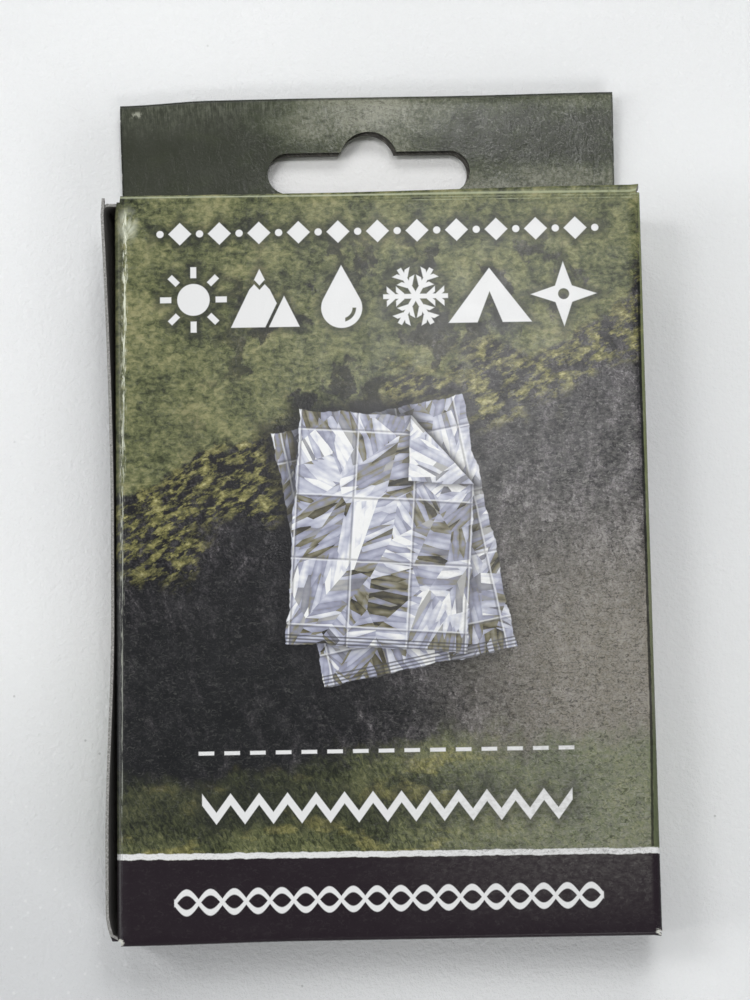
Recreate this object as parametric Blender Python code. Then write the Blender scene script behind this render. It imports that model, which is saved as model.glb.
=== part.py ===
"""Hang-tab folding carton for a folded foil blanket, closed and lying on its back.

+X runs right across the front panel, +Y up towards the hang header, +Z out of the front panel.
The origin is the centre of the back panel's outer face. Units are metres.
"""

from math import asin, cos, pi, radians, sin, sqrt

import bmesh
import bpy
from mathutils import Matrix, Vector

MM = 0.001

# Driving dimensions of the closed carton
WIDTH = 79.8 * MM  # front panel, crease to crease
HEIGHT = 112.0 * MM  # over both end lids
DEPTH = 17.5 * MM  # back panel's outer face to front panel's outer face
BOARD = 0.45 * MM  # thickness of the carton board
GAP = 0.3 * MM  # clearance between layers that lie on each other
CREASE = 0.55 * MM  # radius of the board's middle line at a crease
CREASE_STEPS = 4

# Sleeve: glue flap, front, right wall, back and left wall, one sheet folded round
SLEEVE_HALF = HEIGHT / 2 - BOARD - GAP
SLEEVE_STATIONS = 19
FLAP_DEPTH = 13.0 * MM
FLAP_END_DEPTH = 5.0 * MM  # at the tapered ends of the glue flap
FLAP_TAPER = 7.0 * MM
WALL_FREE_EDGE = DEPTH - 0.3 * MM  # top of the left wall's raw edge
TOP_FLARE = 1.1 * MM  # how far the left wall's unglued top end springs outwards
TOP_FLARE_FROM = 8.0 * MM
LOW_FLARE = 0.95 * MM
LOW_FLARE_FROM = -8.0 * MM

# Header: the back panel's extension, folded forward on itself and sprung up a little
HEADER_REACH = 20.0 * MM  # from the back panel's top end to the fold
HEADER_LEFT = -WIDTH / 2 - 0.2 * MM
HEADER_RIGHT = WIDTH / 2 - 2.2 * MM
HEADER_THICK = 2 * BOARD + GAP
HEADER_SPRING = radians(4)

# Euro hang slot through both header layers, measured from the header's foot
SLOT_CENTRE = (-1.15 * MM, 8.0 * MM)
SLOT_HALF_LENGTH = 16.0 * MM
SLOT_HALF_HEIGHT = 3.2 * MM
BUMP_HALF_WIDTH = 4.4 * MM
BUMP_RISE = 3.2 * MM
SLOT_MISFIT = (-0.55 * MM, -0.6 * MM)  # the back layer's slot is punched this far off

# End lids, hinged on the front panel, each with a tuck flap curled inside the back panel
HINGE_Y = SLEEVE_HALF + GAP / 2
LID_HALF_WIDTH = WIDTH / 2 - 0.3 * MM
TUCK_HALF_WIDTH = WIDTH / 2 - 1.3 * MM
TUCK_CORNER = 5.0 * MM
TUCK_SWEEP = radians(34)
TUCK_STEPS = 9
TOP_LID_LOW = HEADER_THICK + GAP
BOTTOM_LID_LOW = BOARD + GAP

# Dust flaps, folded in from the side walls under each lid
DUST_REACH = 29.0 * MM
DUST_SLANT = 3.0 * MM
DUST_CORNER = 3.0 * MM

CORNER_STEPS = 5


def clear_scene():
    for obj in list(bpy.data.objects):
        bpy.data.objects.remove(obj, do_unlink=True)


def board_material(name, colour, roughness):
    material = bpy.data.materials.new(name)
    material.use_nodes = True
    surface = material.node_tree.nodes["Principled BSDF"]
    surface.inputs["Base Color"].default_value = (*colour, 1.0)
    surface.inputs["Roughness"].default_value = roughness
    surface.inputs["Metallic"].default_value = 0.0
    return material


def finish_object(name, bm, material, parent=None, location=(0.0, 0.0, 0.0)):
    """Turns a bmesh into a named object with outward faces, smooth round its creases."""
    bmesh.ops.recalc_face_normals(bm, faces=bm.faces)
    mesh = bpy.data.meshes.new(name)
    bm.to_mesh(mesh)
    bm.free()
    mesh.shade_smooth()
    mesh.set_sharp_from_angle(angle=radians(35))
    mesh.materials.append(material)
    obj = bpy.data.objects.new(name, mesh)
    bpy.context.scene.collection.objects.link(obj)
    obj.location = location
    obj.parent = parent
    return obj


def rounded(points, radius, steps):
    """The path with each inner corner replaced by an arc of this radius."""
    path = [Vector(points[0])]
    for before, corner, after in zip(points, points[1:], points[2:]):
        corner = Vector(corner)
        back = (Vector(before) - corner).normalized()
        ahead = (Vector(after) - corner).normalized()
        half_angle = back.angle(ahead) / 2
        reach = radius / sin(half_angle)
        centre = corner + (back + ahead).normalized() * reach
        start = corner + back * (reach * cos(half_angle)) - centre
        sweep = (pi - 2 * half_angle) * (1 if back.cross(ahead) < 0 else -1)
        for step in range(steps + 1):
            path.append(centre + Matrix.Rotation(sweep * step / steps, 2) @ start)
    path.append(Vector(points[-1]))
    return path


def offsets(path, distance):
    """The path's points moved sideways by this distance, mitred where it bends."""
    moved = []
    for i, point in enumerate(path):
        before = (point - path[i - 1]).normalized() if i else None
        after = (path[i + 1] - point).normalized() if i + 1 < len(path) else None
        before = before or after
        after = after or before
        along = (before + after).normalized()
        side = Vector((-along.y, along.x))
        moved.append(point + side * distance / along.dot(before))
    return moved


def folded_sheet(sections, place):
    """A sheet of board lofted through sections, each (station, middle line)."""
    bm = bmesh.new()
    rings = []
    for station, path in sections:
        outer = [bm.verts.new(place(station, p)) for p in offsets(path, BOARD / 2)]
        inner = [bm.verts.new(place(station, p)) for p in offsets(path, -BOARD / 2)]
        rings.append((outer, inner))
    last = len(rings[0][0]) - 1
    for (outer_a, inner_a), (outer_b, inner_b) in zip(rings, rings[1:]):
        for i in range(last):
            bm.faces.new((outer_a[i], outer_a[i + 1], outer_b[i + 1], outer_b[i]))
            bm.faces.new((inner_a[i], inner_b[i], inner_b[i + 1], inner_a[i + 1]))
        for i in (0, last):
            bm.faces.new((outer_a[i], outer_b[i], inner_b[i], inner_a[i]))
    for outer, inner in (rings[0], rings[-1]):
        for i in range(last):
            bm.faces.new((outer[i], inner[i], inner[i + 1], outer[i + 1]))
    return bm


def plate(outline, place, low, high):
    """A flat plate of this outline, from low to high along its own thickness."""
    bm = bmesh.new()
    face = bm.faces.new([bm.verts.new(place(point, low)) for point in outline])
    extruded = bmesh.ops.extrude_face_region(bm, geom=[face])["geom"]
    shift = place((0, 0), high) - place((0, 0), low)
    moved = [element for element in extruded if isinstance(element, bmesh.types.BMVert)]
    bmesh.ops.translate(bm, verts=moved, vec=shift)
    return bm


def arc(centre, radius, start, end, steps):
    """Points of a circle's arc, angles in radians."""
    angles = [start + (end - start) * step / steps for step in range(steps + 1)]
    return [(centre[0] + radius * cos(a), centre[1] + radius * sin(a)) for a in angles]


def cut(obj, cutter):
    """Cuts one hidden shape from an object."""
    cutter.hide_render = True
    cutter.display_type = "WIRE"
    boolean = obj.modifiers.new("Cut", "BOOLEAN")
    boolean.operation = "DIFFERENCE"
    boolean.object = cutter
    boolean.solver = "EXACT"


def wall_flare(y):
    """How far the left wall's free edge leans outwards at this height of the sleeve."""
    if y > TOP_FLARE_FROM:
        return TOP_FLARE * ((y - TOP_FLARE_FROM) / (SLEEVE_HALF - TOP_FLARE_FROM)) ** 1.6
    if y < LOW_FLARE_FROM:
        share = (LOW_FLARE_FROM - y) / (SLEEVE_HALF + LOW_FLARE_FROM)
        return LOW_FLARE * sin(pi * share**2.2)
    return 0.0


def flap_depth(y):
    """Depth of the glue flap, tapered near both ends of the sleeve."""
    share = min(1.0, (SLEEVE_HALF - abs(y)) / FLAP_TAPER)
    return FLAP_END_DEPTH + (FLAP_DEPTH - FLAP_END_DEPTH) * share


def make_sleeve(material, parent):
    half = BOARD / 2
    left = -WIDTH / 2 + half
    right = WIDTH / 2 - half
    wall_foot = -WIDTH / 2 - GAP - half
    rise = WALL_FREE_EDGE - half
    sections = []
    for station in range(SLEEVE_STATIONS):
        y = SLEEVE_HALF * (2 * station / (SLEEVE_STATIONS - 1) - 1)
        lean = asin(wall_flare(y) / rise)
        corners = [
            (left, DEPTH - flap_depth(y)),
            (left, DEPTH - half),
            (right, DEPTH - half),
            (right, half),
            (wall_foot, half),
            (wall_foot - rise * sin(lean), half + rise * cos(lean)),
        ]
        sections.append((y, rounded(corners, CREASE, CREASE_STEPS)))
    bm = folded_sheet(sections, lambda y, p: (p.x, y, p.y))
    return finish_object("sleeve", bm, material, parent)


def slot_outline(shift):
    """Euro slot: a long round-ended hole with a round bump in the middle of its top side."""
    x, y = SLOT_CENTRE[0] + shift[0], SLOT_CENTRE[1] + shift[1]
    straight = SLOT_HALF_LENGTH - SLOT_HALF_HEIGHT
    bump_radius = (BUMP_HALF_WIDTH**2 + BUMP_RISE**2) / (2 * BUMP_RISE)
    bump_centre = (x, y + SLOT_HALF_HEIGHT + BUMP_RISE - bump_radius)
    bump_start = asin((bump_radius - BUMP_RISE) / bump_radius)
    points = arc((x + straight, y), SLOT_HALF_HEIGHT, -pi / 2, pi / 2, 2 * CORNER_STEPS)
    points += arc(bump_centre, bump_radius, bump_start, pi - bump_start, 2 * CORNER_STEPS)
    points += arc((x - straight, y), SLOT_HALF_HEIGHT, pi / 2, 3 * pi / 2, 2 * CORNER_STEPS)
    return points


def make_header(material, parent):
    """The doubled header, drawn flat from its foot and tilted up about it."""
    fold_radius = (HEADER_THICK - BOARD) / 2
    fold_y = HEADER_REACH - BOARD / 2 - fold_radius
    middle = HEADER_THICK / 2
    path = [Vector((0.0, HEADER_THICK - BOARD / 2))]
    fold = arc((fold_y, middle), fold_radius, pi / 2, -pi / 2, 2 * CREASE_STEPS)
    path += [Vector(point) for point in fold]
    path.append(Vector((0.0, BOARD / 2)))
    sections = [(x, path) for x in (HEADER_LEFT, HEADER_RIGHT)]
    bm = folded_sheet(sections, lambda x, p: (x, p.x, p.y))
    header = finish_object("header", bm, material, parent, (0.0, SLEEVE_HALF + GAP, 0.0))
    header.rotation_euler.x = HEADER_SPRING
    layers = (
        ("front_slot_cutter", (0.0, 0.0), middle, HEADER_THICK + 1 * MM),
        ("back_slot_cutter", SLOT_MISFIT, -1 * MM, middle),
    )
    for name, shift, low, high in layers:
        bm = plate(slot_outline(shift), lambda p, z: Vector((p[0], p[1], z)), low, high)
        cut(header, finish_object(name, bm, material, header))
    return header


def make_lid(name, end, lid_low, material, parent):
    """An end lid with its tuck flap; end is 1 at the header and -1 at the foot.

    The mesh is drawn about the hinge line, so the object's origin lies on it.
    """
    lid_middle = GAP / 2 + BOARD / 2
    swing = DEPTH - lid_low - BOARD / 2
    first = asin(CREASE / swing) * 1.5
    tuck = [
        (-swing * sin(a), -swing * cos(a))
        for a in (first + (TUCK_SWEEP - first) * i / TUCK_STEPS for i in range(TUCK_STEPS + 1))
    ]
    corner = (lid_middle, -sqrt(swing**2 - lid_middle**2))
    crease = rounded([(lid_middle, 0.0), corner, tuck[0]], CREASE, CREASE_STEPS)
    path = crease + [Vector(point) for point in tuck[1:]]
    sections = [(x, path) for x in (-LID_HALF_WIDTH, LID_HALF_WIDTH)]
    bm = folded_sheet(sections, lambda x, p: (x, end * p.x, p.y))
    hinge = (0.0, end * HINGE_Y, DEPTH)
    lid = finish_object(name, bm, material, parent, hinge)

    # Everything beside the tuck flap's rounded outline, seen from above, is cut away.
    tip = -(swing + BOARD / 2) * sin(TUCK_SWEEP)
    inner_x = TUCK_HALF_WIDTH - TUCK_CORNER
    inner_y = tip + TUCK_CORNER
    far = tip - 2 * MM
    side = LID_HALF_WIDTH + 2 * MM
    outline = [(side, 0.0), (side, far), (-side, far), (-side, 0.0)]
    outline += [(-TUCK_HALF_WIDTH, 0.0)]
    outline += arc((-inner_x, inner_y), TUCK_CORNER, pi, 1.5 * pi, CORNER_STEPS)
    outline += arc((inner_x, inner_y), TUCK_CORNER, 1.5 * pi, 2 * pi, CORNER_STEPS)
    outline += [(TUCK_HALF_WIDTH, 0.0)]
    bm = plate(
        outline,
        lambda p, z: Vector((p[0], end * p[1], z)),
        -swing - 2 * MM,
        -swing / 2,
    )
    cut(lid, finish_object(name + "_cutter", bm, material, parent, hinge))
    return lid


def make_dust_flap(name, side, end, lid_low, material, parent):
    """A dust flap under a lid; side is 1 at the right wall and -1 at the left wall."""
    low = lid_low + BOARD + GAP + 0.1 * MM
    high = DEPTH - BOARD - GAP
    root = WIDTH / 2 - BOARD - GAP
    tip = root - DUST_REACH
    outline = [(root, low), (root, high), (tip + DUST_CORNER, high - DUST_SLANT)]
    outline += arc(
        (tip + DUST_CORNER, high - DUST_SLANT - DUST_CORNER),
        DUST_CORNER,
        pi / 2 + 0.1,
        pi,
        CORNER_STEPS,
    )
    outline += arc((tip + DUST_CORNER, low + DUST_CORNER), DUST_CORNER, pi, 1.5 * pi, CORNER_STEPS)
    bm = plate(
        outline,
        lambda p, y: Vector((side * p[0], end * y, p[1])),
        SLEEVE_HALF - BOARD,
        SLEEVE_HALF,
    )
    return finish_object(name, bm, material, parent)


def main():
    clear_scene()
    printed = board_material("printed_board", (0.055, 0.058, 0.040), 0.42)
    dark = board_material("header_board", (0.060, 0.064, 0.050), 0.45)
    raw = board_material("raw_board", (0.55, 0.53, 0.49), 0.85)

    carton = bpy.data.objects.new("carton", None)
    bpy.context.scene.collection.objects.link(carton)
    carton.empty_display_size = 20 * MM

    make_sleeve(printed, carton)
    make_header(dark, carton)
    for end_name, end, lid_low in (("top", 1, TOP_LID_LOW), ("bottom", -1, BOTTOM_LID_LOW)):
        make_lid(end_name + "_lid", end, lid_low, printed, carton)
        for side_name, side in (("left", -1), ("right", 1)):
            name = f"{end_name}_{side_name}_dust_flap"
            make_dust_flap(name, side, end, lid_low, raw, carton)


main()
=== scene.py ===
"""Hang-tab folding carton: its board is cut flat, creased, folded and printed, then staged.

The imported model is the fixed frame. Every visible sheet of board is a piece of its own, drawn
flat in the front panel's plane, folded line by line and given the board's thickness last.
Sizes are in metres, in the frame's own axes: +X right across the front, +Y up to the header.
"""

from math import atan2, cos, pi, radians, sin

import bpy
from bpy.props import FloatProperty, FloatVectorProperty, IntProperty, PointerProperty
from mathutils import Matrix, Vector


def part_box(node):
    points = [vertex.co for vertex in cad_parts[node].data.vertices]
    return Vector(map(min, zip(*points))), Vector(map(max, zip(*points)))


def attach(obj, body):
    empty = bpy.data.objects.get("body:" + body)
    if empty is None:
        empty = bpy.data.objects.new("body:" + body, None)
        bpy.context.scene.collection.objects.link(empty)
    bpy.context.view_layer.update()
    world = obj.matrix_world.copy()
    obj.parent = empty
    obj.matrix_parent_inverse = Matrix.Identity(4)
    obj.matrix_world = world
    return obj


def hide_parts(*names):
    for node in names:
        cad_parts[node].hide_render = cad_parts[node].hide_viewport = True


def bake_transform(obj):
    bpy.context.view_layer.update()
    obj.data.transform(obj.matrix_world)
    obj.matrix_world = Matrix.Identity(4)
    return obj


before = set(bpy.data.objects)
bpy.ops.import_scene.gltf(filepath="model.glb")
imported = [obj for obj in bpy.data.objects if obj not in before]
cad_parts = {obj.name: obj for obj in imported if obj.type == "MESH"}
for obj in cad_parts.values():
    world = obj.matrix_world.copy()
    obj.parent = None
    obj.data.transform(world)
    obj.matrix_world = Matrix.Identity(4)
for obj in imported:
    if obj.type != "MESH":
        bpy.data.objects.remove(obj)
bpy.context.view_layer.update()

bl_info = {
    "name": "Hang-Tab Folding Carton",
    "version": (1, 0, 0),
    "blender": (4, 5, 0),
    "location": "View3D > Sidebar > Carton",
    "description": "Folds a printed hang-tab carton from flat board and sets it on a studio stage",
    "category": "Object",
}

MM = 0.001
NEAR = 0.00002  # two places closer than this are the same line of the blank

SLEEVE_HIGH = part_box("sleeve")[1]
HEADER_LOW, HEADER_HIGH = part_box("header")

PLATE = 0.24  # side of the square printing plate that the whole blank lies on
PLATE_ORIGIN = (-0.06, -0.12)  # the plate's lower left corner, from the front panel's middle
SMOOTH_ANGLE = radians(35)  # less than a cut edge's angle and more than a crease strip's
CORNER_CUTS = 5  # straight cuts that round one corner of a flap


# ---------------------------------------------------------------- settings

class CartonSizes(bpy.types.PropertyGroup):
    """Sizes of the folded carton, read from the frame."""

    half_width: FloatProperty(
        name="Half width", description="Middle of the front panel to its right wall's outer face",
        default=SLEEVE_HIGH.x, unit="LENGTH", precision=5)
    half_height: FloatProperty(
        name="Half height", description="Middle of the front panel to the sleeve's open end",
        default=SLEEVE_HIGH.y, unit="LENGTH", precision=5)
    depth: FloatProperty(
        name="Depth", description="Back panel's outer face to the front panel's outer face",
        default=SLEEVE_HIGH.z, unit="LENGTH", precision=5)
    board: FloatProperty(
        name="Board", description="Thickness of the carton board",
        default=0.45 * MM, unit="LENGTH", precision=5)
    gap: FloatProperty(
        name="Gap", description="Clearance between layers that lie on each other",
        default=0.3 * MM, unit="LENGTH", precision=5)
    crease: FloatProperty(
        name="Crease radius", description="Outer radius of the board at a long crease",
        default=0.775 * MM, unit="LENGTH", precision=5)
    lid_crease: FloatProperty(
        name="Lid crease radius", description="Outer radius of the board at a lid's hinge crease",
        default=0.6 * MM, unit="LENGTH", precision=5)
    step: FloatProperty(
        name="Mesh step", description="Widest spacing of the lines of a sheet's mesh",
        default=1.25 * MM, unit="LENGTH", precision=5)
    crease_lines: IntProperty(
        name="Crease strips", description="Flat strips that round one right-angled crease",
        default=5, min=2)


class StageSettings(bpy.types.PropertyGroup):
    """Camera, lamps and surroundings of the stage."""

    camera_place: FloatVectorProperty(
        name="Camera place", description="Where the camera stands",
        default=(-0.001857, -0.045246, 0.410354), subtype="TRANSLATION", precision=6)
    camera_turn: FloatVectorProperty(
        name="Camera turn", description="The camera's rotation about X, Y and Z",
        default=(radians(7.86), radians(0.019), radians(-0.973)), subtype="EULER")
    lens: FloatProperty(
        name="Lens", description="Focal length on a 36 mm sensor, in millimetres", default=95.4)
    brightness: FloatProperty(
        name="Brightness", description="Gain of all lamps together", default=1.0, min=0.0)
    horizon: FloatProperty(
        name="Horizon", description="Brightness of the room at eye level", default=0.48)
    zenith: FloatProperty(
        name="Zenith", description="Brightness of the room overhead", default=0.07)


# Each soft lamp: its middle, its width and height, and its watts
LAMPS = {
    "window": ((-0.51, 0.21, 1.0), (0.20, 0.30), 2.66),
    "ceiling": ((0.030, 0.112, 0.42), (0.08, 0.09), 0.36),
    "back": ((0.0, 0.55, 0.55), (0.50, 0.25), 2.05),
    "left": ((-0.60, -0.05, 0.45), (0.25, 0.50), 1.50),
    "desk": ((0.25, -0.50, 0.50), (0.40, 0.25), 1.79),
}


# ---------------------------------------------------------------- modelling helpers

def only(obj):
    """Selects this object alone and makes it active."""
    bpy.ops.object.select_all(action="DESELECT")
    obj.select_set(True)
    bpy.context.view_layer.objects.active = obj


def pick(obj, test, kind="VERT"):
    """Opens the object in edit mode with only the elements selected that pass the test."""
    only(obj)
    bpy.ops.object.mode_set(mode="EDIT")
    bpy.ops.mesh.select_mode(type=kind)
    bpy.ops.mesh.select_all(action="DESELECT")
    bpy.ops.object.mode_set(mode="OBJECT")
    mesh = obj.data
    items = {"VERT": mesh.vertices, "EDGE": mesh.edges, "FACE": mesh.polygons}[kind]
    for item in items:
        item.select = test(item)
    bpy.ops.object.mode_set(mode="EDIT")


def close_edit():
    """Leaves edit mode."""
    bpy.ops.object.mode_set(mode="OBJECT")


def place_all(obj, shift, turn=0.0, axis="X"):
    """Turns the whole mesh about an axis through the origin, then shifts it."""
    pick(obj, lambda vert: True)
    if turn:
        # Without a window this operator turns the other way round.
        bpy.ops.transform.rotate(value=-turn, orient_axis=axis, center_override=(0, 0, 0))
    bpy.ops.transform.translate(value=shift)
    close_edit()


def apply_modifier(obj, name, kind, **settings):
    """Adds a modifier with these settings and applies it."""
    modifier = obj.modifiers.new(name, kind)
    for key, value in settings.items():
        setattr(modifier, key, value)
    only(obj)
    bpy.ops.object.modifier_apply(modifier=modifier.name)


def smooth_creases(obj):
    """Smooths the shading over the rounded creases and leaves cut edges crisp."""
    only(obj)
    bpy.ops.object.shade_smooth_by_angle(angle=SMOOTH_ANGLE)


def cut_blank(name, columns, rows, step):
    """A flat sheet with a line at every column and row, and finer lines between them."""
    bpy.ops.object.select_all(action="DESELECT")
    bpy.ops.mesh.primitive_plane_add(size=1)
    obj = bpy.context.object
    obj.name = obj.data.name = name
    bpy.ops.object.mode_set(mode="EDIT")
    bpy.ops.mesh.select_all(action="SELECT")
    bpy.ops.transform.resize(value=(columns[1] - columns[0], rows[1] - rows[0], 1))
    middle = ((columns[0] + columns[1]) / 2, (rows[0] + rows[1]) / 2, 0)
    bpy.ops.transform.translate(value=middle)
    close_edit()
    for axis, stations in enumerate((columns, rows)):
        for line, following in zip(stations[1:], stations[2:]):
            pick(obj, lambda vert: abs(vert.co[axis] - line) < NEAR)
            shift = [0, 0, 0]
            shift[axis] = following - line
            bpy.ops.mesh.extrude_region_move(TRANSFORM_OT_translate={"value": shift})
            close_edit()
    for axis, stations in enumerate((columns, rows)):
        for low, high in zip(stations, stations[1:]):
            cuts = round((high - low) / step) - 1
            if cuts < 1:
                continue
            verts = obj.data.vertices

            def spans(edge):
                a, b = (verts[i].co[axis] for i in edge.vertices)
                return abs(a - b) > NEAR and min(a, b) > low - NEAR and max(a, b) < high + NEAR

            pick(obj, spans, "EDGE")
            bpy.ops.mesh.subdivide(number_cuts=cuts)
            close_edit()
    return obj


def trim(obj, columns, rows):
    """Takes away the faces of a flat blank between two columns and two rows, in either order."""
    (low_x, high_x), (low_y, high_y) = sorted(columns), sorted(rows)

    def inside(face):
        return low_x < face.center.x < high_x and low_y < face.center.y < high_y

    pick(obj, inside, "FACE")
    bpy.ops.mesh.delete(type="FACE")
    close_edit()


def snip(obj, point, outward, reach):
    """Cuts a flat blank straight across within reach of a point; what lies outward falls off."""
    place = Vector((*point, 0))
    # Bisect limits each part of its normal to 1, which would turn a longer one.
    normal = Vector((*outward, 0)).normalized()

    def near(face):
        return (face.center - place).length < reach

    pick(obj, near, "FACE")
    bpy.ops.mesh.bisect(plane_co=place, plane_no=normal, clear_outer=True)
    close_edit()


def round_corner(obj, corner, signs, radius):
    """Rounds one outer corner of a flat blank with straight cuts along an arc's tangents."""
    centre = Vector(corner) - Vector(signs) * radius
    reach = 2.2 * radius  # takes in this corner and no other
    for i in range(CORNER_CUTS):
        angle = pi / 2 * (i + 0.5) / CORNER_CUTS
        outward = Vector((signs[0] * cos(angle), signs[1] * sin(angle)))
        snip(obj, centre + outward * radius, outward, reach)


def lay_on_plate(obj, shift=(0, 0)):
    """Writes each point's place on the flat printing plate to the UV map and returns the places."""
    mesh = obj.data
    plate = mesh.uv_layers[0]
    plate.name = "plate"
    flat = [vert.co.copy() for vert in mesh.vertices]
    for loop in mesh.loops:
        place = flat[loop.vertex_index]
        plate.data[loop.index].uv = [
            (place[i] + shift[i] - PLATE_ORIGIN[i]) / PLATE for i in range(2)
        ]
    return flat


def bend(obj, flat, axis, lines, turn):
    """Rolls the sheet over a crease away from its printed side.

    The crease's lines are columns for axis 0 and rows for axis 1. Each turns all that lies beyond it.
    """
    beyond = 1 if lines[-1] > lines[0] else -1
    hinge = "Y" if axis == 0 else "X"
    side = beyond if axis == 0 else -beyond
    for i, line in enumerate(lines):
        share = turn / (len(lines) - 1)
        if i in (0, len(lines) - 1):
            share /= 2
        centre = next(
            vert.co.copy() for vert in obj.data.vertices if abs(flat[vert.index][axis] - line) < NEAR
        )
        pick(obj, lambda vert: (flat[vert.index][axis] - line) * beyond > NEAR)
        # Without a window this operator turns the other way round.
        bpy.ops.transform.rotate(value=-share * side, orient_axis=hinge, center_override=centre)
        close_edit()


def crease_lines(start, radius, turn, strips):
    """Lines of a rounded crease, whose flat strips are chords of its arc; start's sign gives the way."""
    chord = 2 * radius * sin(abs(turn) / strips / 2)
    way = 1 if start >= 0 else -1
    return [start + way * chord * i for i in range(strips + 1)]


def push(obj, direction, distance, weight):
    """Pushes the sheet along X, Y, Z or its normal by a distance times each place's weight."""
    group = obj.vertex_groups.new(name="push")
    for vert in obj.data.vertices:
        amount = weight(vert.co)
        if amount > 0:
            group.add([vert.index], min(1.0, amount), "REPLACE")
    apply_modifier(
        obj, "Push", "DISPLACE", direction=direction, strength=distance, mid_level=0,
        vertex_group="push",
    )
    obj.vertex_groups.remove(obj.vertex_groups["push"])


def thicken(obj, board, outsides, choose=None, inside=None):
    """Gives the sheet its thickness behind the printed side, with a raw inside and cut edge.

    Where there are several outsides, choose tells which of them a face has.
    """
    count = len(outsides)
    inside = inside or board_finish(raw_inside)
    sides = [*outsides, *[inside] * count, *[board_finish(raw_edge)] * count]
    obj.data.materials.clear()
    for material in sides:
        obj.data.materials.append(material)
    for face in obj.data.polygons:
        face.material_index = choose(face) if choose else 0
    apply_modifier(
        obj, "Board", "SOLIDIFY", thickness=board, offset=-1, use_even_offset=True,
        material_offset=count, material_offset_rim=2 * count,
    )
    smooth_creases(obj)


def fade(value, low, high):
    """0 below low, 1 above high and a soft slope between."""
    share = max(0.0, min(1.0, (value - low) / (high - low)))
    return share * share * (3 - 2 * share)


def slopes(*spans):
    """The product of soft slopes, each a value with the millimetres where it starts and ends."""
    weight = 1.0
    for value, low, high in spans:
        weight *= fade(value, low * MM, high * MM)
    return weight


# ---------------------------------------------------------------- finishes

class Field:
    """A number that varies over the board; arithmetic on fields adds math nodes."""

    def __init__(self, finish, socket):
        self.finish = finish
        self.socket = socket

    def math(self, operation, *others):
        """Adds one math node, which takes this number first."""
        node = self.finish.node("Math", operation=operation)
        for socket, value in zip(node.inputs, (self, *others)):
            self.finish.feed(socket, value)
        return Field(self.finish, node.outputs[0])

    def __add__(self, other):
        return self.math("ADD", other)

    def __sub__(self, other):
        return self.math("SUBTRACT", other)

    def __mul__(self, other):
        return self.math("MULTIPLY", other)

    def __rsub__(self, other):
        return self * -1 + other

    def __abs__(self):
        return self.math("ABSOLUTE")

    __radd__ = __add__

    def least(self, other):
        return self.math("MINIMUM", other)

    def most(self, other):
        return self.math("MAXIMUM", other)

    def rise(self, low, high):
        """0 below low, 1 above high, soft between; it falls instead where low is the greater."""
        node = self.finish.node("MapRange", interpolation_type="SMOOTHSTEP")
        for name, value in (("Value", self), ("From Min", low), ("From Max", high)):
            self.finish.feed(node.inputs[name], value)
        return Field(self.finish, node.outputs[0])

    def band(self, low, high, soft):
        """1 between low and high, with soft borders."""
        return self.rise(low - soft, low + soft) * self.rise(high + soft, high - soft)


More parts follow.
